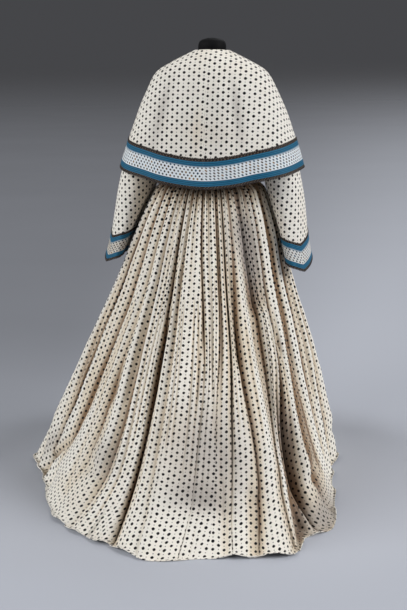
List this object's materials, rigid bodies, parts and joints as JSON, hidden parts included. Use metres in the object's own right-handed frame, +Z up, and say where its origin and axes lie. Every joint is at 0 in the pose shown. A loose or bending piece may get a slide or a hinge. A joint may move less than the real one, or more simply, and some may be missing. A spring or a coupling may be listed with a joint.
{
  "type": "afternoon dress on a dress form",
  "caption": "Trained, gathered-skirt afternoon dress with a shoulder cape and wide banded sleeves, on a limbless dress form with a pole and round base.",
  "frame": {"origin": "centre of the stand base's underside, on the floor", "axes": "+Z up; the wearer faces -Y, the train lies towards +Y, the wearer's left is +X"},
  "size_m": [1.0721, 1.3736, 1.436],
  "materials": {
    "printed_cloth": "matt cream cloth with a small dark print",
    "border_cloth": "matt white and blue banded border cloth",
    "form_cover": "smooth black jersey cover",
    "stand_metal": "satin black paint"
  },
  "bodies": {
    "root": {"dress_form": "form_cover", "stand_pole": "stand_metal", "stand_base": "stand_metal", "skirt_front": "printed_cloth", "skirt_side_right": "printed_cloth", "skirt_back_right": "printed_cloth", "skirt_back_centre": "printed_cloth", "skirt_back_left": "printed_cloth", "skirt_side_left": "printed_cloth", "bodice_back": "printed_cloth", "bodice_front_left": "printed_cloth", "bodice_front_right": "printed_cloth", "waistband": "printed_cloth", "sleeve_outer_left": "printed_cloth", "sleeve_under_left": "printed_cloth", "sleeve_border_left": "border_cloth", "sleeve_outer_right": "printed_cloth", "sleeve_under_right": "printed_cloth", "sleeve_border_right": "border_cloth", "cape_right": "printed_cloth", "cape_left": "printed_cloth", "cape_border_right": "border_cloth", "cape_border_left": "border_cloth"}
  },
  "joints": []
}
